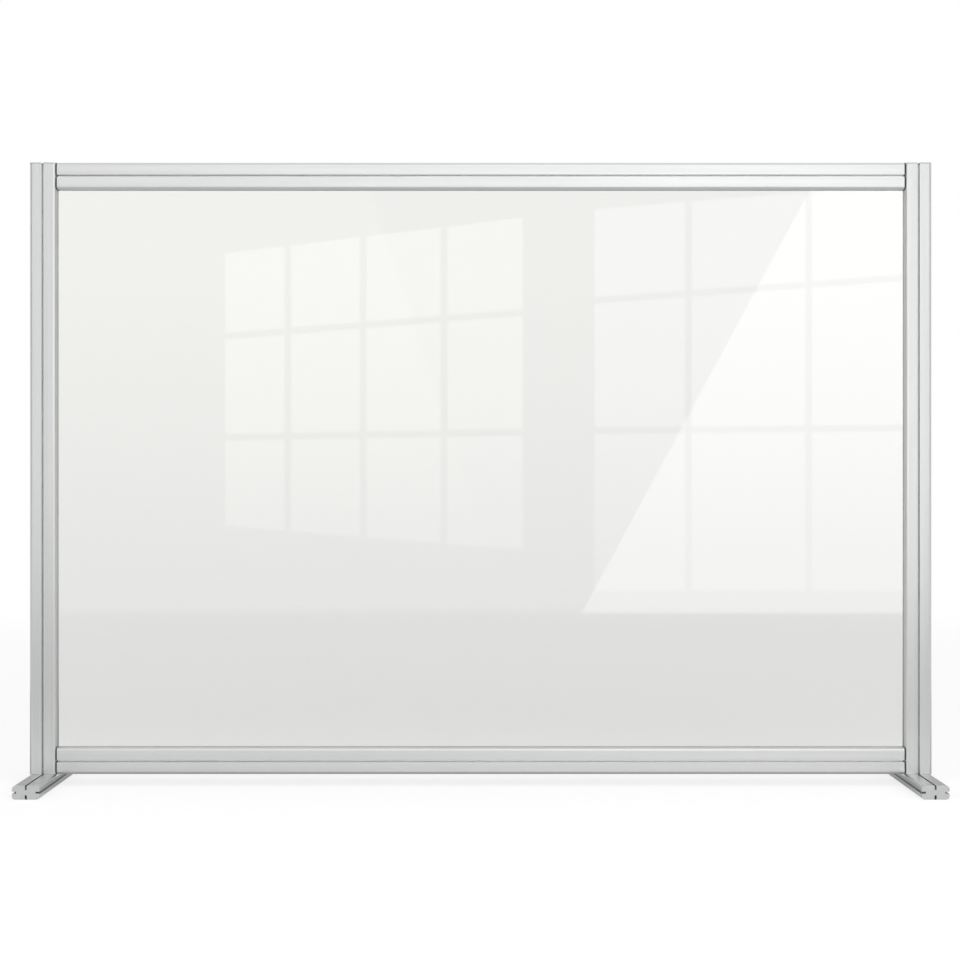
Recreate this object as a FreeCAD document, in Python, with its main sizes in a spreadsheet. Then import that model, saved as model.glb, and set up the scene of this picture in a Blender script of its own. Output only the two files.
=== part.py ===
import FreeCAD
import Part
import Sketcher
import os

# Desk divider screen: a clear acrylic panel in a frame of slotted aluminium profile, on two cross feet.
# One profile is used for the posts, the rails and the feet. Every piece is a body of its own.
# Frame: X along the screen, Y through its thickness with the front at -Y, Z up from the desk.
# The origin lies on the desk, midway between the posts and midway along the feet.

SIZES = {
    # Overall sizes
    "post_pitch": 1400.0,         # centre line of one post to centre line of the other
    "overall_height": 1000.0,     # desk to the top of the frame
    "foot_length": 200.0,         # each foot, end caps included
    # Aluminium profile
    "profile_width": 43.0,
    "profile_depth": 21.0,
    "corner_radius": 5.0,
    "wall_thickness": 1.8,        # outer skin and inner webs
    "slot_depth": 6.4,            # face of the profile to the floor of a slot
    "lip_thickness": 1.8,         # the two lips that narrow a slot at its mouth
    "cavity_width": 8.0,          # slot behind its lips
    "port_spacing": 19.1,         # between the two screw ports of the profile
    "port_bore": 3.6,
    # Acrylic panel and the blocks that it stands on
    "panel_thickness": 3.0,
    "panel_play": 0.1,            # panel face to lip, on each side
    "panel_bite": 5.0,            # depth of the panel's edge in each slot
    "block_length": 60.0,
    "block_inset": 250.0,         # inner face of a post to the middle of the block near it
    "block_play": 0.3,            # block to the side of the slot
    # End caps and corner connectors
    "cap_thickness": 2.0,
    "cap_prong_length": 9.0,
    "flange_thickness": 1.0,      # connector plate between a rail and a post
    "connector_prong_length": 24.0,
    "prong_play": 0.1,            # prong to the wall of its chamber
    "key_play": 0.1,              # T-key to the lips and the walls of the post's inner slot
    "key_end_play": 0.2,          # T-key to the cap above it or the foot below it
    "key_panel_gap": 1.5,         # T-key to the corner of the panel in the same slot
    # Screws between foot and post, plain where they cut their thread
    "screw_length": 12.0,
    "screw_play": 0.05,
    "head_diameter": 7.0,
    "head_height": 2.2,
    "socket_width": 2.5,          # hexagon socket across its flats
    "socket_depth": 1.3,
    "clearance_bore": 4.4,        # free hole for a screw in the foot's upper wall
    "access_bore": 7.4,           # hole under a foot for the screw's head
    # Rubber strips under the feet
    "strip_proud": 0.5,           # how far the rubber stands out below the foot
    "strip_play": 0.15,
}

# Expressions shared by several pieces
MOUTH_HALF = "(Sizes.panel_thickness / 2 + Sizes.panel_play)"
CAVITY_HALF = "(Sizes.cavity_width / 2)"
HALF_WIDTH = "(Sizes.profile_width / 2)"
HALF_DEPTH = "(Sizes.profile_depth / 2)"
HALF_PITCH = "(Sizes.post_pitch / 2)"
PORT_OFFSET = "(Sizes.port_spacing / 2)"
INNER_FACE = f"({HALF_PITCH} - {HALF_WIDTH})"
RAIL_HALF = f"({INNER_FACE} - Sizes.flange_thickness)"
FOOT_MIDDLE = f"(Sizes.strip_proud + {HALF_DEPTH})"
FOOT_TOP = "(Sizes.strip_proud + Sizes.profile_depth)"
POST_LENGTH = f"(Sizes.overall_height - Sizes.cap_thickness - {FOOT_TOP})"
FOOT_CUT = "(Sizes.foot_length - 2 * Sizes.cap_thickness)"
LOW_RAIL_HEIGHT = f"({FOOT_TOP} + {HALF_WIDTH})"
HIGH_RAIL_HEIGHT = f"(Sizes.overall_height - {HALF_WIDTH})"

# Walls of the four hollow chambers of the profile, in the quarter where both coordinates are positive
CHAMBER_NEAR = f"({CAVITY_HALF} + Sizes.wall_thickness)"
CHAMBER_FAR = f"({HALF_WIDTH} - Sizes.slot_depth - Sizes.wall_thickness)"
CHAMBER_END = f"({HALF_WIDTH} - Sizes.corner_radius)"
CHAMBER_LOW = "(Sizes.port_bore / 2 + Sizes.wall_thickness)"
CHAMBER_STEP = f"({CAVITY_HALF} + Sizes.wall_thickness)"
CHAMBER_HIGH = f"({HALF_DEPTH} - Sizes.wall_thickness)"

QUARTERS = ((1, 1), (-1, 1), (-1, -1), (1, -1))
SIDES = {"left": -1, "right": 1}
# Height of each rail, the way from it to the nearer end of the post, and how far its keys reach that way
LEVELS = {
    "top": (HIGH_RAIL_HEIGHT, 1, f"({HALF_WIDTH} - Sizes.cap_thickness - Sizes.key_end_play)"),
    "bottom": (LOW_RAIL_HEIGHT, -1, f"({HALF_WIDTH} - Sizes.key_end_play)"),
}
LEVEL = FreeCAD.Rotation()
FACING_FRONT = FreeCAD.Rotation(FreeCAD.Vector(1, 0, 0), 90)
FACING_REAR = FreeCAD.Rotation(FreeCAD.Vector(1, 0, 0), -90)
FACING_DOWN = FreeCAD.Rotation(FreeCAD.Vector(1, 0, 0), 180)
FACING_SIDE = {
    -1: FreeCAD.Rotation(FreeCAD.Vector(0, 1, 0), -90),
    1: FreeCAD.Rotation(FreeCAD.Vector(0, 1, 0), 90),
}


def signed(sign, expression):
    """The expression, or its negative where sign is -1."""
    return expression if sign > 0 else f"-({expression})"


def size_sheet(doc):
    sheet = doc.addObject("Spreadsheet::Sheet", "Sizes")
    for row, (alias, value) in enumerate(SIZES.items(), start=1):
        sheet.set(f"A{row}", alias)
        sheet.set(f"B{row}", str(value))
        sheet.setAlias(f"B{row}", alias)
    doc.recompute()


def new_body(doc, label, base, rotation=LEVEL):
    """An empty body whose place follows three expressions."""
    body = doc.addObject("PartDesign::Body", label)
    body.Label = label
    body.Placement = FreeCAD.Placement(FreeCAD.Vector(), rotation)
    for axis, expression in zip("xyz", base):
        body.setExpression(f"Placement.Base.{axis}", expression)
    return body


def new_sketch(body, plane, lift="0"):
    """A sketch on one of the body's own origin planes, moved along that plane's normal by lift."""
    sketch = body.newObject("Sketcher::SketchObject", f"{body.Label}_sketch")
    support = next(f for f in body.Origin.OriginFeatures if f.Role == plane)
    sketch.AttachmentSupport = [(support, "")]
    sketch.MapMode = "FlatFace"
    sketch.setExpression("AttachmentOffset.Base.z", lift)
    return sketch


def bind_point(sketch, geometry, position, x, y):
    """Ties one point of the sketch to a pair of expressions, measured from the sketch's origin."""
    for kind, axis, expression in (("DistanceX", -2, x), ("DistanceY", -1, y)):
        if expression == "0":
            sketch.addConstraint(Sketcher.Constraint("PointOnObject", geometry, position, axis))
            continue
        value = float(sketch.evalExpression(expression))
        constraint = Sketcher.Constraint(kind, -1, 1, geometry, position, value)
        index = sketch.addConstraint(constraint)
        sketch.setExpression(f"Constraints[{index}]", expression)


def add_polygon(sketch, corners):
    """A closed chain of straight lines through pairs of expressions."""
    points = [
        FreeCAD.Vector(float(sketch.evalExpression(x)), float(sketch.evalExpression(y)), 0)
        for x, y in corners
    ]
    first = sketch.GeometryCount
    count = len(points)
    for index in range(count):
        sketch.addGeometry(Part.LineSegment(points[index], points[(index + 1) % count]))
    for index in range(count):
        following = first + (index + 1) % count
        sketch.addConstraint(Sketcher.Constraint("Coincident", first + index, 2, following, 1))
        bind_point(sketch, first + index, 1, *corners[index])


def add_rectangle(sketch, left, bottom, right, top):
    add_polygon(sketch, [(left, bottom), (right, bottom), (right, top), (left, top)])


def add_circle(sketch, x, y, diameter):
    centre = FreeCAD.Vector(float(sketch.evalExpression(x)), float(sketch.evalExpression(y)), 0)
    radius = float(sketch.evalExpression(diameter)) / 2
    circle = sketch.addGeometry(Part.Circle(centre, FreeCAD.Vector(0, 0, 1), radius))
    bind_point(sketch, circle, 3, x, y)
    index = sketch.addConstraint(Sketcher.Constraint("Diameter", circle, 2 * radius))
    sketch.setExpression(f"Constraints[{index}]", diameter)


def add_pad(body, sketch, length, symmetric=False, reverse=False):
    pad = body.newObject("PartDesign::Pad", f"{body.Label}_pad")
    pad.Profile = sketch
    pad.SideType = "Symmetric" if symmetric else "One side"
    pad.Reversed = reverse
    pad.setExpression("Length", length)
    body.Document.recompute()
    return pad


def check_cut(body, volume_before):
    """Stops the build where a cut has missed the solid."""
    if not body.Shape.Volume < volume_before:
        raise RuntimeError(f"a cut in {body.Label} takes nothing away")


def cut_through(body, sketch):
    """Cuts the sketch through the whole body, to both sides of its plane."""
    volume_before = body.Shape.Volume
    pocket = body.newObject("PartDesign::Pocket", f"{body.Label}_cut")
    pocket.Profile = sketch
    pocket.Type = "ThroughAll"
    pocket.SideType = "Symmetric"
    body.Document.recompute()
    check_cut(body, volume_before)
    return pocket


def cut_depth(body, sketch, depth):
    """Cuts the sketch to a depth against its plane's normal."""
    volume_before = body.Shape.Volume
    pocket = body.newObject("PartDesign::Pocket", f"{body.Label}_cut")
    pocket.Profile = sketch
    pocket.setExpression("Length", depth)
    body.Document.recompute()
    check_cut(body, volume_before)
    return pocket


def runs_along_z(edge):
    first, last = edge.Vertexes[0].Point, edge.Vertexes[-1].Point
    return (last - first).cross(FreeCAD.Vector(0, 0, 1)).Length < edge.Tolerance


def round_long_edges(body, pad, radius):
    """Rounds the edges of a pad that run along its height."""
    names = [f"Edge{number}" for number, edge in enumerate(pad.Shape.Edges, start=1) if runs_along_z(edge)]
    fillet = body.newObject("PartDesign::Fillet", f"{body.Label}_rounding")
    fillet.Base = (pad, names)
    fillet.setExpression("Radius", radius)
    body.Document.recompute()


def slot_corners(face, sign, turned):
    """Corners of one T-slot, cut in from a face at the given distance from the profile's centre line."""
    outside = f"({face} + Sizes.lip_thickness)"
    lip = f"({face} - Sizes.lip_thickness)"
    floor = f"({face} - Sizes.slot_depth)"
    half = [(MOUTH_HALF, outside), (MOUTH_HALF, lip), (CAVITY_HALF, lip), (CAVITY_HALF, floor)]
    corners = half + [(f"-{across}", out) for across, out in reversed(half)]
    corners = [(across, signed(sign, out)) for across, out in corners]
    return [(out, across) for across, out in corners] if turned else corners


def chamber_corners(x_sign, y_sign):
    """Corners of the L-shaped hollow in one quarter of the profile."""
    corners = [
        (CHAMBER_NEAR, CHAMBER_LOW),
        (CHAMBER_FAR, CHAMBER_LOW),
        (CHAMBER_FAR, CHAMBER_STEP),
        (CHAMBER_END, CHAMBER_STEP),
        (CHAMBER_END, CHAMBER_HIGH),
        (CHAMBER_NEAR, CHAMBER_HIGH),
    ]
    return [(signed(x_sign, x), signed(y_sign, y)) for x, y in corners]


def profile_outline(body, length):
    """The outer shape of the profile, padded along +Z, with its long edges rounded."""
    outline = new_sketch(body, "XY_Plane")
    add_rectangle(outline, f"-{HALF_WIDTH}", f"-{HALF_DEPTH}", HALF_WIDTH, HALF_DEPTH)
    pad = add_pad(body, outline, length)
    round_long_edges(body, pad, "Sizes.corner_radius")


def make_extrusion(doc, label, length, base, rotation=LEVEL):
    """A length of the hollow profile: T-slots in four sides, four chambers and two screw ports."""
    body = new_body(doc, label, base, rotation)
    profile_outline(body, length)
    slots = new_sketch(body, "XY_Plane")
    for sign in (1, -1):
        add_polygon(slots, slot_corners(HALF_DEPTH, sign, turned=False))
        add_polygon(slots, slot_corners(HALF_WIDTH, sign, turned=True))
    cut_through(body, slots)
    hollows = new_sketch(body, "XY_Plane")
    for x_sign, y_sign in QUARTERS:
        add_polygon(hollows, chamber_corners(x_sign, y_sign))
    for sign in (1, -1):
        add_circle(hollows, signed(sign, PORT_OFFSET), "0", "Sizes.port_bore")
    cut_through(body, hollows)
    return body


def make_post(doc, label, side):
    make_extrusion(doc, label, POST_LENGTH, (signed(side, HALF_PITCH), "0", FOOT_TOP))


def make_rail(doc, label, height):
    make_extrusion(doc, label, f"(2 * {RAIL_HALF})", (f"-{RAIL_HALF}", "0", height), FACING_SIDE[1])


def make_foot(doc, label, side):
    """A foot, drilled from below for the two screws that hold the post."""
    base = (signed(side, HALF_PITCH), f"({FOOT_CUT} / 2)", FOOT_MIDDLE)
    body = make_extrusion(doc, label, FOOT_CUT, base, FACING_FRONT)
    drilling = new_sketch(body, "XZ_Plane", HALF_DEPTH)
    for sign in (1, -1):
        add_circle(drilling, signed(sign, PORT_OFFSET), f"({FOOT_CUT} / 2)", "Sizes.clearance_bore")
    volume_before = body.Shape.Volume
    hole = body.newObject("PartDesign::Hole", f"{label}_screw_holes")
    hole.Profile = drilling
    hole.DepthType = "ThroughAll"
    hole.HoleCutType = "Counterbore"
    hole.setExpression("Diameter", "Sizes.clearance_bore")
    hole.setExpression("HoleCutDiameter", "Sizes.access_bore")
    hole.setExpression("HoleCutDepth", "Sizes.profile_depth - Sizes.wall_thickness")
    doc.recompute()
    check_cut(body, volume_before)


def cut_notches(body):
    """Open notches in a profile-shaped plate, in line with the mouths of the four slots."""
    notches = new_sketch(body, "XY_Plane")
    across = (f"-{MOUTH_HALF}", MOUTH_HALF)
    for face, turned in ((HALF_DEPTH, False), (HALF_WIDTH, True)):
        outside = f"({face} + Sizes.lip_thickness)"
        floor = f"({face} - Sizes.slot_depth)"
        for sign in (1, -1):
            out = (signed(sign, floor), signed(sign, outside))
            x, y = (out, across) if turned else (across, out)
            add_rectangle(notches, x[0], y[0], x[1], y[1])
    cut_through(body, notches)


def add_prongs(body, length):
    """Four prongs that plug into the profile's chambers, on the back of a plate."""
    sketch = new_sketch(body, "XY_Plane")
    near = f"({CHAMBER_NEAR} + Sizes.prong_play)"
    far = f"({CHAMBER_FAR} - Sizes.prong_play)"
    low = f"({CHAMBER_LOW} + Sizes.prong_play)"
    high = f"({CHAMBER_HIGH} - Sizes.prong_play)"
    for x_sign, y_sign in QUARTERS:
        x = (signed(x_sign, near), signed(x_sign, far))
        y = (signed(y_sign, low), signed(y_sign, high))
        add_rectangle(sketch, x[0], y[0], x[1], y[1])
    add_pad(body, sketch, length, reverse=True)


def make_plate(body, thickness, prong_length):
    """A plate of the profile's outline, with a notch at each slot and prongs on its back."""
    profile_outline(body, thickness)
    cut_notches(body)
    add_prongs(body, prong_length)


def make_cap(doc, label, base, rotation=LEVEL):
    """A moulded cap that closes the end of a post or a foot."""
    body = new_body(doc, label, base, rotation)
    make_plate(body, "Sizes.cap_thickness", "Sizes.cap_prong_length")


def make_connector(doc, label, side, height, outward, reach):
    """A moulded corner piece: prongs pressed into the rail, a thin plate and a T-key for the post's slot.

    The key reaches to the cap on the post or to the foot, so that the rail can't leave the slot.
    """
    body = new_body(doc, label, (signed(side, RAIL_HALF), "0", height), FACING_SIDE[side])
    make_plate(body, "Sizes.flange_thickness", "Sizes.connector_prong_length")
    neck = f"({MOUTH_HALF} - Sizes.key_play)"
    head = f"({CAVITY_HALF} - Sizes.key_play)"
    shoulder = "(Sizes.flange_thickness + Sizes.lip_thickness + Sizes.key_play)"
    end = "(Sizes.flange_thickness + Sizes.slot_depth - Sizes.key_play)"
    half = [(neck, "0"), (neck, shoulder), (head, shoulder), (head, end)]
    inner_reach = f"({HALF_WIDTH} - Sizes.panel_bite - Sizes.key_panel_gap)"
    # The body's X points down on the right and up on the left
    start = reach if side == outward else inner_reach
    section = new_sketch(body, "YZ_Plane", f"-{start}")
    add_polygon(section, half + [(f"-{across}", out) for across, out in reversed(half)])
    add_pad(body, section, f"({reach} + {inner_reach})")


def make_foot_screws(doc, label, side):
    """The two screws of one foot, heads down, with their shanks up in the post's ports."""
    base = (f"({signed(side, HALF_PITCH)} - {PORT_OFFSET})", "0", f"({FOOT_TOP} - Sizes.wall_thickness)")
    body = new_body(doc, label, base, FACING_DOWN)
    shank = "(Sizes.port_bore / 2 - Sizes.screw_play)"
    head = "(Sizes.head_diameter / 2)"
    half_section = new_sketch(body, "XZ_Plane")
    add_polygon(half_section, [
        ("0", "-Sizes.screw_length"),
        (shank, "-Sizes.screw_length"),
        (shank, "0"),
        (head, "0"),
        (head, "Sizes.head_height"),
        ("0", "Sizes.head_height"),
    ])
    turned = body.newObject("PartDesign::Revolution", f"{label}_turned")
    turned.Profile = half_section
    turned.ReferenceAxis = (half_section, ["V_Axis"])
    doc.recompute()
    socket = new_sketch(body, "XY_Plane", "Sizes.head_height")
    flat = "(Sizes.socket_width / 2)"
    corner = "(Sizes.socket_width / sqrt(3))"
    add_polygon(socket, [
        (corner, "0"),
        (f"({corner} / 2)", flat),
        (f"-({corner} / 2)", flat),
        (f"-{corner}", "0"),
        (f"-({corner} / 2)", f"-{flat}"),
        (f"({corner} / 2)", f"-{flat}"),
    ])
    recess = cut_depth(body, socket, "Sizes.socket_depth")
    pair = body.newObject("PartDesign::LinearPattern", f"{label}_pair")
    pair.Originals = [turned, recess]
    pair.Direction = (half_section, ["H_Axis"])
    pair.Occurrences = 2
    pair.setExpression("Length", "Sizes.port_spacing")
    body.Tip = pair
    doc.recompute()


def make_panel(doc):
    """The acrylic sheet, held in the slots of the posts and rails on all four edges."""
    bottom = f"({LOW_RAIL_HEIGHT} + {HALF_WIDTH} - Sizes.panel_bite)"
    top = f"({HIGH_RAIL_HEIGHT} - {HALF_WIDTH} + Sizes.panel_bite)"
    half_length = f"({INNER_FACE} + Sizes.panel_bite)"
    body = new_body(doc, "acrylic_panel", ("0", "0", "0"))
    outline = new_sketch(body, "XZ_Plane")
    add_rectangle(outline, f"-{half_length}", bottom, half_length, top)
    add_pad(body, outline, "Sizes.panel_thickness", symmetric=True)


def make_setting_block(doc, label, side):
    """A block on the floor of the lower rail's slot, which carries the panel's lower edge."""
    middle = f"({INNER_FACE} - Sizes.block_inset)"
    seat = f"({LOW_RAIL_HEIGHT} + {HALF_WIDTH} - Sizes.slot_depth)"
    body = new_body(doc, label, (signed(side, middle), "0", seat))
    outline = new_sketch(body, "XY_Plane")
    half_length = "(Sizes.block_length / 2)"
    half_width = f"({CAVITY_HALF} - Sizes.block_play)"
    add_rectangle(outline, f"-{half_length}", f"-{half_width}", half_length, half_width)
    add_pad(body, outline, "(Sizes.slot_depth - Sizes.panel_bite)")


def make_strip(doc, label, side):
    """A rubber T-strip in the slot under a foot, standing a little proud of it."""
    body = new_body(doc, label, (signed(side, HALF_PITCH), "0", FOOT_MIDDLE))
    neck = f"({MOUTH_HALF} - Sizes.strip_play)"
    head = f"({CAVITY_HALF} - Sizes.strip_play)"
    foot = f"-({HALF_DEPTH} + Sizes.strip_proud)"
    shoulder = f"-({HALF_DEPTH} - Sizes.lip_thickness - Sizes.strip_play)"
    top = f"-({HALF_DEPTH} - Sizes.slot_depth)"
    half = [(neck, foot), (neck, shoulder), (head, shoulder), (head, top)]
    section = new_sketch(body, "XZ_Plane")
    add_polygon(section, half + [(f"-{x}", z) for x, z in reversed(half)])
    add_pad(body, section, f"({FOOT_CUT} - 2 * Sizes.strip_play)", symmetric=True)


def check_document(doc):
    for item in doc.Objects:
        if "Invalid" in item.State or "Error" in item.State:
            raise RuntimeError(f"{item.Label} failed: {item.State}")
    bodies = [item for item in doc.Objects if item.TypeId == "PartDesign::Body"]
    for body in bodies:
        if body.Shape.isNull() or not body.Shape.isValid():
            raise RuntimeError(f"{body.Label} has no valid shape")
    return bodies


def build():
    doc = FreeCAD.newDocument("desk_divider_screen")
    size_sheet(doc)
    make_panel(doc)
    for level, (height, outward, reach) in LEVELS.items():
        make_rail(doc, f"{level}_rail", height)
        for name, side in SIDES.items():
            make_connector(doc, f"{level}_{name}_connector", side, height, outward, reach)
    for name, side in SIDES.items():
        make_post(doc, f"{name}_post", side)
        make_foot(doc, f"{name}_foot", side)
        middle = signed(side, HALF_PITCH)
        make_cap(doc, f"{name}_post_cap", (middle, "0", f"({FOOT_TOP} + {POST_LENGTH})"))
        make_cap(doc, f"{name}_foot_front_cap", (middle, f"-({FOOT_CUT} / 2)", FOOT_MIDDLE), FACING_FRONT)
        make_cap(doc, f"{name}_foot_rear_cap", (middle, f"({FOOT_CUT} / 2)", FOOT_MIDDLE), FACING_REAR)
        make_foot_screws(doc, f"{name}_foot_screws", side)
        make_strip(doc, f"{name}_foot_strip", side)
        make_setting_block(doc, f"{name}_setting_block", side)
    doc.recompute()
    os.makedirs("parts", exist_ok=True)
    for body in check_document(doc):
        body.Shape.exportStep(f"parts/{body.Label}.step")


build()
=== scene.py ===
import math

import bpy
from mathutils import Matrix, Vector


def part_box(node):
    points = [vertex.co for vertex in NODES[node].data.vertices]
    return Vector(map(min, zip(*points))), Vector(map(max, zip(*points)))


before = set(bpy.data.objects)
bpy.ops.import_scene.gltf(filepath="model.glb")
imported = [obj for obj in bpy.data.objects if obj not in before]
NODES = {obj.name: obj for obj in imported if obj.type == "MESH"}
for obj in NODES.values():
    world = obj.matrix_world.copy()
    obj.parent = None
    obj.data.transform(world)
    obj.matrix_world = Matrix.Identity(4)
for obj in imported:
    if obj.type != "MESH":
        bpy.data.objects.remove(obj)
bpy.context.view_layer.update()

# Pieces that share a finish
FRAME_PROFILES = ["top_rail", "bottom_rail", "left_post", "right_post"]
FOOT_PROFILES = ["left_foot", "right_foot"]
CAPS = [name for name in NODES if name.endswith("_cap")]
CONNECTORS = [name for name in NODES if name.endswith("_connector")]
SCREWS = [name for name in NODES if name.endswith("_screws")]
RUBBERS = [name for name in NODES if name.endswith(("_strip", "_block"))]

# Axes along the screen and upwards
ALONG, UP = 0, 2

# Camera, in metres, with its lens and sensor in millimetres
CAMERA_PLACE = (-0.0011, -2.4105, 0.4922)
CAMERA_LENS = 56.32
SENSOR_WIDTH = 36.0

# The profile's section: what lies deeper than its skin is a slot's wall, and what lies further than the
# start of the side slots from the middle of a wide face is in a narrow side
CORNER_RADIUS = 0.005
SKIN = 0.0006
SIDE_SLOT_START = 0.012

# Tones of a profile's skin, and those given to the walls of the slots of its wide faces and of its narrow
# sides
SKIN_TONES = ((0.640, 0.648, 0.645), (0.680, 0.688, 0.685))
# In the frame the face slots' walls are painted light, paler than the skin against the shade in them, and
# the side slots' walls are painted shade
FRAME_SLOT_PAINTED_LIGHT_AND_SHADE = (0.9, 0.35)
# The feet's slots keep the skin's own tone and paint no light or shade
FOOT_SLOT_TONES = (0.65, 0.65)

# Grains per metre, across and along a profile
DIE_LINES = (1500.0, 5.0)
DIE_BANDS = (160.0, 1.5)
# Tilt of the die lines' direction, which gives the cut ends one too
DIE_TILT = 0.03

# Edges of the cut and moulded pieces, and the pull of large faces on the shading, where 50 is neutral
EDGE_WIDTH = 0.0003
EDGE_SEGMENTS = 2
EDGE_ANGLE = math.radians(40)
WELD_REACH = 0.000002
FACE_PULL = 90

# Floor: its reach from the middle, and its tone and glow near the object, which fade to a plain white glow
# over a span of distances
FLOOR_REACH = 30.0
FLOOR_TONE = 0.28
FLOOR_GLOW = 0.74
FLOOR_FADE = (0.9, 3.5)

# Strength of the surroundings' light on rough surfaces, where the background that is seen has 1
WORLD_LIGHT = 0.5
LAMP_TARGET = (0.0, 0.0, 0.5)
WHITE = (1.0, 1.0, 1.0)

# Flags: the share of a flag's width over which its edge fades by default, the distance of the side flags
# from the middle, and the depth of the foot flags, which are painted shade in what the feet and the lower
# posts mirror, and their reach outwards from the middle of a post
FLAG_FADE = 0.22
SIDE_FLAG_DISTANCE = 2.2
FOOT_SHADE_FLAG_DEPTH = 0.006
FOOT_SHADE_FLAG_REACH = (-0.01, 0.18)

# Cards that the panel mirrors as a room in front of it, each one gap nearer than the last
CARD_DEPTH = -3.21
CARD_GAP = 0.02
# Their corners, as places along the screen and heights
WALL = [(-2.4, 0.0), (2.4, 0.0), (2.4, 2.0), (-2.4, 2.0)]
SUNLIT_HALF = [(-2.4, 0.0), (0.093, 0.0), (-0.545, 2.0), (-2.4, 2.0)]
BEAM = [(0.373, 0.0), (1.8, 0.0), (1.8, 1.7), (1.29, 1.7)]
# Bars of the two windows: places of the upright ones, and heights of the others at the left and right end
WINDOW_BAR = 0.025
LEFT_WINDOW = ((-0.96, -0.715, -0.435, -0.135, 0.17),
               ((0.31, 0.22), (0.65, 0.67), (1.025, 1.115), (1.345, 1.48)))
RIGHT_WINDOW = ((0.41, 0.77, 1.215, 1.63),
                ((0.07, 0.07), (0.675, 0.685), (1.155, 1.245), (1.505, 1.605)))

# The card that the metal mirrors, and the places between which its glow rises
ROOM_DEPTH = -3.4
ROOM_ENDS = (-2.15, 1.95)
ROOM_HEIGHT = 3.0
ROOM_GLOW = (0.26, 0.8)
ROOM_RISE = (-1.2, 1.75)

# Sockets of a Mix node that are in use when it mixes colours
MIX_SHARE, MIX_COLOURS, MIX_RESULT = 0, (6, 7), 2


def new_material(name, kind="ShaderNodeBsdfPrincipled"):
    """A material whose tree has an output and one shader."""
    material = bpy.data.materials.new(name)
    material.use_nodes = True
    tree = material.node_tree
    tree.nodes.clear()
    output = tree.nodes.new("ShaderNodeOutputMaterial")
    shader = tree.nodes.new(kind)
    tree.links.new(shader.outputs["BSDF"], output.inputs["Surface"])
    return material, tree, shader


def coordinates(tree, kind):
    """The three parts of a place, in an object's own coordinates or as shares of its box."""
    place = tree.nodes.new("ShaderNodeTexCoord")
    parts = tree.nodes.new("ShaderNodeSeparateXYZ")
    tree.links.new(place.outputs[kind], parts.inputs["Vector"])
    return parts.outputs


def noise(tree, grains, detail=3.0, roughness=0.55):
    """Noise over the object's own coordinates, with a number of grains per metre along each axis."""
    place = tree.nodes.new("ShaderNodeTexCoord")
    mapping = tree.nodes.new("ShaderNodeMapping")
    mapping.inputs["Scale"].default_value = grains
    texture = tree.nodes.new("ShaderNodeTexNoise")
    texture.inputs["Scale"].default_value = 1.0
    texture.inputs["Detail"].default_value = detail
    texture.inputs["Roughness"].default_value = roughness
    tree.links.new(place.outputs["Object"], mapping.inputs["Vector"])
    tree.links.new(mapping.outputs["Vector"], texture.inputs["Vector"])
    return texture.outputs["Fac"]


def stretched(grains, length):
    """Grains per metre along each axis, for noise that is drawn out along the length."""
    across, along = grains
    return [along if axis == length else across for axis in range(3)]


def spread(tree, value, low, high, start=0.3, end=0.7):
    """A value that runs from low to high as another, by default noise, runs from start to end."""
    node = tree.nodes.new("ShaderNodeMapRange")
    node.inputs["From Min"].default_value = start
    node.inputs["From Max"].default_value = end
    node.inputs["To Min"].default_value = low
    node.inputs["To Max"].default_value = high
    tree.links.new(value, node.inputs["Value"])
    return node.outputs["Result"]


def blend(tree, share, first, second):
    """A mix of two colours, each a socket or three numbers."""
    node = tree.nodes.new("ShaderNodeMix")
    node.data_type = "RGBA"
    tree.links.new(share, node.inputs[MIX_SHARE])
    for number, colour in zip(MIX_COLOURS, (first, second)):
        if isinstance(colour, tuple):
            node.inputs[number].default_value = (*colour, 1.0)
        else:
            tree.links.new(colour, node.inputs[number])
    return node.outputs[MIX_RESULT]


def grey(tone):
    """A colour of one tone."""
    return (tone, tone, tone)


def math_node(tree, operation, first, second=0.0):
    """A Math node on two inputs, each a socket or a number."""
    node = tree.nodes.new("ShaderNodeMath")
    node.operation = operation
    for socket, value in zip(node.inputs, (first, second)):
        if isinstance(value, float):
            socket.default_value = value
        else:
            tree.links.new(value, socket)
    return node.outputs["Value"]


def add_bump(tree, shader, height, distance, strength):
    """Tilts a shader's normals as if its surface had a height."""
    node = tree.nodes.new("ShaderNodeBump")
    node.inputs["Strength"].default_value = strength
    node.inputs["Distance"].default_value = distance
    tree.links.new(height, node.inputs["Height"])
    tree.links.new(node.outputs["Normal"], shader.inputs["Normal"])


def slot_masks(tree, low, high, wide, deep):
    """Two masks of a profile, which place the tones of its slots: 1 on the walls of its slots, and 1
    towards its narrow sides.
    """
    parts = coordinates(tree, "Object")
    offsets, squares = {}, []
    for axis in (wide, deep):
        middle, half = (low[axis] + high[axis]) / 2, (high[axis] - low[axis]) / 2
        offsets[axis] = math_node(tree, "ABSOLUTE", math_node(tree, "SUBTRACT", parts[axis], middle))
        over = math_node(tree, "SUBTRACT", offsets[axis], half - CORNER_RADIUS)
        squares.append(math_node(tree, "POWER", math_node(tree, "MAXIMUM", over), 2.0))
    reach = math_node(tree, "SQRT", math_node(tree, "ADD", *squares))
    inside = math_node(tree, "LESS_THAN", reach, CORNER_RADIUS - SKIN)
    beside = math_node(tree, "GREATER_THAN", offsets[wide], SIDE_SLOT_START)
    return inside, beside


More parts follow.
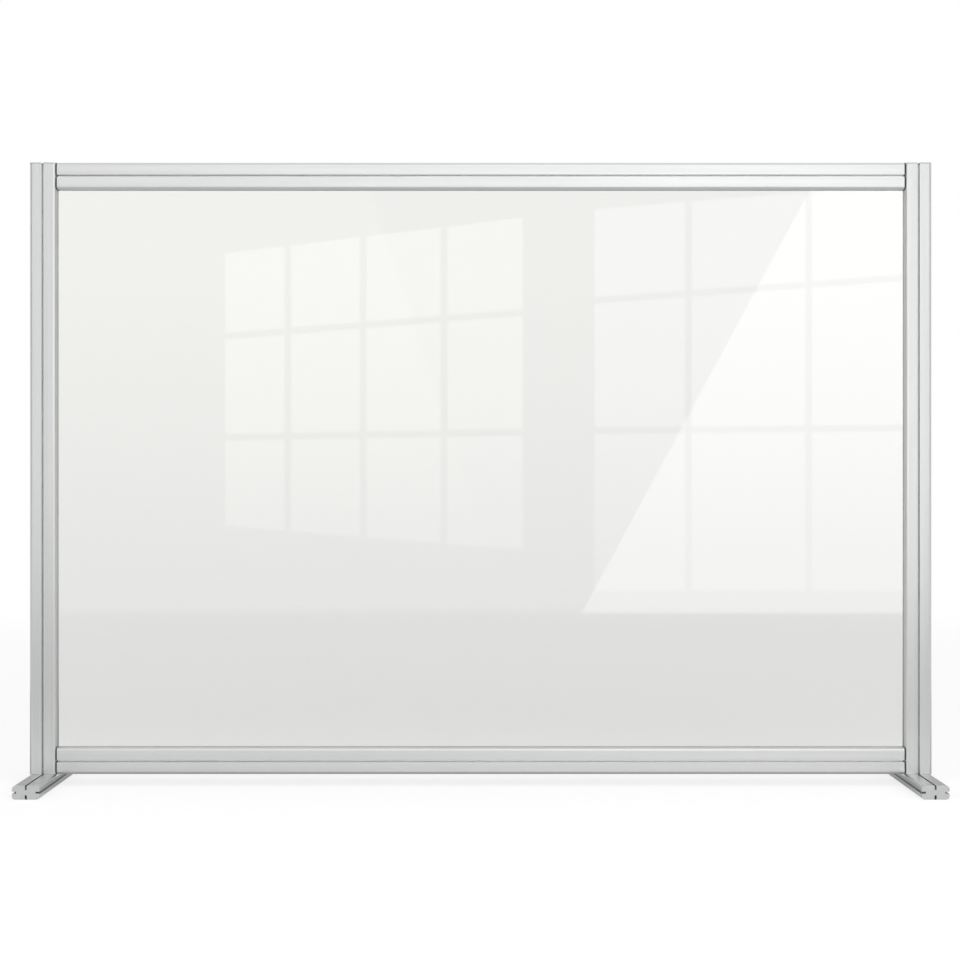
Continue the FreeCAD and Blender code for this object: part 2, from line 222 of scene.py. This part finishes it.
def anodised_aluminium(piece, slot_light_and_shade_tones):
    """Satin anodised profile, with die lines along its length and tones of its own in its slots, which in
    the frame are painted light and shade.
    """
    low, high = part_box(piece)
    deep, wide, length = sorted(range(3), key=lambda axis: high[axis] - low[axis])
    material, tree, shader = new_material(f"aluminium_{piece}")
    lines = noise(tree, stretched(DIE_LINES, length))
    bands = spread(tree, noise(tree, stretched(DIE_BANDS, length), detail=2.0), low=0.0, high=1.0)
    skin = blend(tree, bands, *SKIN_TONES)
    inside, beside = slot_masks(tree, low, high, wide, deep)
    # Painted light on the walls of the frame's face slots, and painted shade in its side slots
    slots = blend(tree, beside, *map(grey, slot_light_and_shade_tones))
    tree.links.new(blend(tree, inside, skin, slots), shader.inputs["Base Color"])
    tree.links.new(spread(tree, lines, low=0.30, high=0.42), shader.inputs["Roughness"])
    shader.inputs["Metallic"].default_value = 1.0
    shader.inputs["Anisotropic"].default_value = 0.55
    shader.inputs["Anisotropic Rotation"].default_value = 0.25
    along = tree.nodes.new("ShaderNodeCombineXYZ")
    for axis in range(3):
        along.inputs[axis].default_value = 1.0 if axis == length else DIE_TILT
    tree.links.new(along.outputs["Vector"], shader.inputs["Tangent"])
    add_bump(tree, shader, lines, distance=0.00002, strength=0.25)
    return material


def moulded_plastic(name, tones, roughness, grain_depth):
    """Plastic or rubber with a fine moulded grain."""
    material, tree, shader = new_material(name)
    grain = noise(tree, grains=[2600.0] * 3, detail=2.0)
    cloud = noise(tree, grains=[60.0] * 3)
    tree.links.new(blend(tree, spread(tree, cloud, low=0.0, high=1.0), *tones), shader.inputs["Base Color"])
    tree.links.new(spread(tree, cloud, *roughness), shader.inputs["Roughness"])
    add_bump(tree, shader, grain, distance=grain_depth, strength=0.5)
    return material


def zinc_plate():
    """Bright zinc plate with a faint spangle."""
    material, tree, shader = new_material("zinc_plate")
    spangle = noise(tree, grains=[900.0] * 3)
    tone = blend(tree, spread(tree, spangle, low=0.0, high=1.0), (0.56, 0.57, 0.58), (0.64, 0.65, 0.66))
    tree.links.new(tone, shader.inputs["Base Color"])
    tree.links.new(spread(tree, spangle, low=0.22, high=0.38), shader.inputs["Roughness"])
    shader.inputs["Metallic"].default_value = 1.0
    return material


def clear_acrylic():
    """Polished sheet that lets the lamps' light through, with faint smears and a slow wave in its faces."""
    material, tree, shader = new_material("acrylic")
    smears = noise(tree, grains=[7.0, 7.0, 11.0], detail=5.0, roughness=0.6)
    wave = noise(tree, grains=[2.2] * 3, detail=1.0)
    shader.inputs["Base Color"].default_value = (0.767, 0.771, 0.754, 1.0)
    shader.inputs["Transmission Weight"].default_value = 1.0
    shader.inputs["IOR"].default_value = 1.49
    shader.inputs["Coat Weight"].default_value = 1.0
    shader.inputs["Coat Roughness"].default_value = 0.02
    tree.links.new(spread(tree, smears, low=0.01, high=0.035), shader.inputs["Roughness"])
    add_bump(tree, shader, wave, distance=0.0004, strength=0.2)
    lit_through = tree.nodes.new("ShaderNodeBsdfTransparent")
    lit_through.inputs["Color"].default_value = (0.86, 0.865, 0.855, 1.0)
    path = tree.nodes.new("ShaderNodeLightPath")
    mix = tree.nodes.new("ShaderNodeMixShader")
    share, as_seen, as_shadow = mix.inputs
    tree.links.new(path.outputs["Is Shadow Ray"], share)
    tree.links.new(shader.outputs["BSDF"], as_seen)
    tree.links.new(lit_through.outputs["BSDF"], as_shadow)
    output = tree.get_output_node("ALL")
    tree.links.new(mix.outputs["Shader"], output.inputs["Surface"])
    return material


def dress(names, material):
    """Gives pieces one material."""
    for name in names:
        slots = NODES[name].data.materials
        slots.clear()
        slots.append(material)


def dress_pieces():
    """Gives every piece its finish."""
    for profiles, slot_light_and_shade_tones in ((FRAME_PROFILES, FRAME_SLOT_PAINTED_LIGHT_AND_SHADE), (FOOT_PROFILES, FOOT_SLOT_TONES)):
        for piece in profiles:
            dress([piece], anodised_aluminium(piece, slot_light_and_shade_tones))
    dress(["acrylic_panel"], clear_acrylic())
    dress(SCREWS, zinc_plate())
    dress(CAPS, moulded_plastic(
        "cap_plastic", tones=((0.56, 0.57, 0.57), (0.60, 0.61, 0.61)),
        roughness=(0.42, 0.55), grain_depth=0.00003))
    dress(CONNECTORS, moulded_plastic(
        "black_nylon", tones=((0.026, 0.026, 0.027), (0.036, 0.036, 0.037)),
        roughness=(0.4, 0.55), grain_depth=0.00003))
    dress(RUBBERS, moulded_plastic(
        "black_rubber", tones=((0.022, 0.022, 0.022), (0.030, 0.030, 0.029)),
        roughness=(0.7, 0.85), grain_depth=0.00004))


def soften_edges(names):
    """Joins each solid's faces, breaks its sharp edges and shades it by its larger faces."""
    for name in names:
        stack = NODES[name].modifiers
        stack.new("joined", "WELD").merge_threshold = WELD_REACH
        bevel = stack.new("edges", "BEVEL")
        bevel.width = EDGE_WIDTH
        bevel.segments = EDGE_SEGMENTS
        bevel.limit_method = "ANGLE"
        bevel.angle_limit = EDGE_ANGLE
        stack.new("shading", "WEIGHTED_NORMAL").weight = FACE_PULL


def seen_background(tree):
    """1 for the rays that show the background: straight, in metal and through the panel."""
    path = tree.nodes.new("ShaderNodeLightPath")
    beyond = math_node(tree, "MAXIMUM", path.outputs["Is Glossy Ray"], path.outputs["Is Transmission Ray"])
    return math_node(tree, "MAXIMUM", path.outputs["Is Camera Ray"], beyond)


def make_world():
    """Plain white surroundings, dimmer as light on rough surfaces than as seen."""
    world = bpy.data.worlds.new("studio")
    bpy.context.scene.world = world
    world.use_nodes = True
    tree = world.node_tree
    background = tree.nodes["Background"]
    background.inputs["Color"].default_value = (*WHITE, 1.0)
    strength = spread(tree, seen_background(tree), low=WORLD_LIGHT, high=1.0, start=0.0, end=1.0)
    tree.links.new(strength, background.inputs["Strength"])


def make_floor():
    """A floor that takes faint shadows near the object and is plain white further off."""
    bpy.ops.mesh.primitive_plane_add(size=2 * FLOOR_REACH)
    floor = bpy.context.object
    floor.name = "floor"
    material, tree, shader = new_material("pale_floor")
    shader.inputs["Roughness"].default_value = 0.9
    shader.inputs["Specular IOR Level"].default_value = 0.0
    shader.inputs["Emission Color"].default_value = (*WHITE, 1.0)
    place = tree.nodes.new("ShaderNodeTexCoord")
    distance = tree.nodes.new("ShaderNodeVectorMath")
    distance.operation = "LENGTH"
    tree.links.new(place.outputs["Object"], distance.inputs[0])
    far = spread(tree, distance.outputs["Value"], 0.0, 1.0, *FLOOR_FADE)
    tree.links.new(blend(tree, far, grey(FLOOR_TONE), grey(0.0)), shader.inputs["Base Color"])
    glow = spread(tree, far, low=FLOOR_GLOW, high=1.0, start=0.0, end=1.0)
    shown = math_node(tree, "MULTIPLY", glow, seen_background(tree))
    tree.links.new(shown, shader.inputs["Emission Strength"])
    floor.data.materials.append(material)


def add_softbox(name, place, size, power):
    """A soft lamp that shines on the middle of the object and isn't mirrored in it."""
    light = bpy.data.lights.new(name, "AREA")
    light.shape = "RECTANGLE"
    light.size, light.size_y = size
    light.energy = power
    lamp = bpy.data.objects.new(name, light)
    lamp.location = place
    lamp.rotation_mode = "QUATERNION"
    lamp.rotation_quaternion = (Vector(LAMP_TARGET) - Vector(place)).to_track_quat("-Z", "Y")
    lamp.visible_glossy = lamp.visible_transmission = False
    bpy.context.scene.collection.objects.link(lamp)


def make_lamps():
    """Lamps at the front right and left, and one above."""
    add_softbox("key", place=(2.6, -3.6, 2.0), size=(2.6, 2.6), power=66.0)
    add_softbox("fill", place=(-2.8, -3.4, 2.0), size=(2.6, 2.6), power=40.0)
    add_softbox("top", place=(0.3, -2.2, 2.9), size=(3.5, 1.0), power=50.0)


def add_mirrored_sheet(name, faces, receivers=None):
    """A clear sheet of four-cornered faces that shows only as a reflection, in the receivers alone if there
    are any. Returns its material's tree and shader."""
    corners = [corner for face in faces for corner in face]
    polygons = [range(start, start + 4) for start in range(0, len(corners), 4)]
    mesh = bpy.data.meshes.new(name)
    mesh.from_pydata(corners, [], polygons)
    sheet = bpy.data.objects.new(name, mesh)
    bpy.context.scene.collection.objects.link(sheet)
    sheet.visible_camera = sheet.visible_diffuse = sheet.visible_transmission = False
    sheet.visible_shadow = sheet.visible_volume_scatter = False
    sheet.light_linking.receiver_collection = receivers
    material, tree, clear = new_material(name, "ShaderNodeBsdfTransparent")
    material.cycles.emission_sampling = "NONE"
    mesh.materials.append(material)
    return tree, clear


def add_card(name, depth, faces, colour, glow, rise, receivers, axis=UP):
    """An upright card that adds a glow to what lies behind it, mirrored in the receivers alone.
    Its strength runs over the glow as the place along the axis runs over the rise."""
    upright = [[(x, depth, z) for x, z in face] for face in faces]
    tree, clear = add_mirrored_sheet(name, upright, receivers)
    light = tree.nodes.new("ShaderNodeEmission")
    light.inputs["Color"].default_value = (*colour, 1.0)
    strength = spread(tree, coordinates(tree, "Object")[axis], *glow, *rise)
    tree.links.new(strength, light.inputs["Strength"])
    both = tree.nodes.new("ShaderNodeAddShader")
    behind, added = both.inputs
    tree.links.new(clear.outputs["BSDF"], behind)
    tree.links.new(light.outputs["Emission"], added)
    output = tree.get_output_node("ALL")
    tree.links.new(both.outputs["Shader"], output.inputs["Surface"])


def add_flag(name, low, high, tint, fade=FLAG_FADE):
    """A grey sheet with faded edges, between two corners, that dims what is mirrored from behind it."""
    flat = min(range(3), key=lambda axis: high[axis] - low[axis])
    wide, tall = [axis for axis in range(3) if axis != flat]
    corners = []
    for across, up in ((low, low), (high, low), (high, high), (low, high)):
        corner = list(low)
        corner[wide], corner[tall] = across[wide], up[tall]
        corners.append(corner)
    tree, clear = add_mirrored_sheet(name, [corners])
    parts = coordinates(tree, "Generated")
    margins = [math_node(tree, "PINGPONG", parts[axis], 0.5) for axis in (wide, tall)]
    shade = spread(tree, math_node(tree, "MINIMUM", *margins), low=1.0, high=tint, start=0.0, end=fade)
    shade.node.interpolation_type = "SMOOTHSTEP"
    tree.links.new(shade, clear.inputs["Color"])


def make_flags():
    """Flags on the floor, one of them a painted shadow under the object, one at each side of the room, and
    one beside each foot as painted shade.
    """
    add_flag("front_flag", low=(-2.6, -3.4, 0.003), high=(2.6, -0.15, 0.003), tint=0.64, fade=0.15)
    # Painted shadow: a dark sheet under the object that puts its shadow on the floor into what the metal
    # and panel mirror
    add_flag("painted_shadow_flag", low=(-1.6, -0.22, 0.0003), high=(1.6, 1.0, 0.0003), tint=0.4)
    for side, outward, side_tint in (("left", -1, 0.4), ("right", 1, 0.5)):
        wall = outward * SIDE_FLAG_DISTANCE
        add_flag(f"{side}_flag", low=(wall, -3.3, -0.2), high=(wall, -0.5, 3.2), tint=side_tint)
        post_low, post_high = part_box(f"{side}_post")
        middle = (post_low[ALONG] + post_high[ALONG]) / 2
        start, end = sorted(middle + outward * reach for reach in FOOT_SHADE_FLAG_REACH)
        # Painted shade: a dark sheet beside each foot that darkens what the foot and the lower post mirror
        add_flag(f"{side}_foot_painted_shade_flag", low=(start, FOOT_SHADE_FLAG_DEPTH, -0.06),
                 high=(end, FOOT_SHADE_FLAG_DEPTH, 0.18), tint=0.57)


def window_panes(sides, levels):
    """The panes between a window's upright bars and its slanting cross bars."""
    first, last, half = sides[0], sides[-1], WINDOW_BAR / 2

    def height(level, x):
        at_first, at_last = level
        return at_first + (at_last - at_first) * (x - first) / (last - first)

    panes = []
    for left, right in zip(sides, sides[1:]):
        left, right = left + half, right - half
        for low, high in zip(levels, levels[1:]):
            panes.append([(left, height(low, left) + half), (right, height(low, right) + half),
                          (right, height(high, right) - half), (left, height(high, left) - half)])
    return panes


def make_cards():
    """A wall, its sunlit half, two windows and a beam of light for the panel, and a plain card
    for the metal."""
    panel = bpy.data.collections.new("mirrored_in_panel")
    metal = bpy.data.collections.new("mirrored_in_metal")
    for name, node in NODES.items():
        receivers = panel if name == "acrylic_panel" else metal
        receivers.objects.link(node)
    # Name, faces, colour, glow, and the heights between which the glow rises
    cards = (
        ("wall_card", [WALL], (1.0, 1.0, 0.90), (0.0, 1.05), (0.0, 1.25)),
        ("sunlit_card", [SUNLIT_HALF], (1.0, 1.0, 0.80), (0.0, 0.2), (0.0, 0.9)),
        ("left_window_card", window_panes(*LEFT_WINDOW), (1.0, 1.0, 0.94), (0.45, 0.8), (0.2, 0.8)),
        ("right_window_card", window_panes(*RIGHT_WINDOW), (0.97, 0.99, 1.0), (0.45, 0.8), (0.2, 0.8)),
        ("beam_card", [BEAM], WHITE, (1.0, 1.0), (0.0, 1.0)),
    )
    for number, (name, faces, colour, glow, rise) in enumerate(cards):
        add_card(name, CARD_DEPTH + number * CARD_GAP, faces, colour, glow, rise, panel)
    left, right = ROOM_ENDS
    room = [(left, 0.0), (right, 0.0), (right, ROOM_HEIGHT), (left, ROOM_HEIGHT)]
    add_card("room_card", ROOM_DEPTH, [room], WHITE, ROOM_GLOW, ROOM_RISE, metal, axis=ALONG)


def make_camera():
    """A level camera that looks square at the front."""
    data = bpy.data.cameras.new("camera")
    data.lens = CAMERA_LENS
    data.sensor_width = SENSOR_WIDTH
    camera = bpy.data.objects.new("camera", data)
    camera.location = CAMERA_PLACE
    camera.rotation_euler = (math.radians(90), 0.0, 0.0)
    bpy.context.scene.collection.objects.link(camera)
    bpy.context.scene.camera = camera


dress_pieces()
soften_edges(FRAME_PROFILES + FOOT_PROFILES + CAPS + CONNECTORS)
make_world()
make_floor()
make_lamps()
make_flags()
make_cards()
make_camera()
bpy.context.scene.view_settings.view_transform = "Standard"
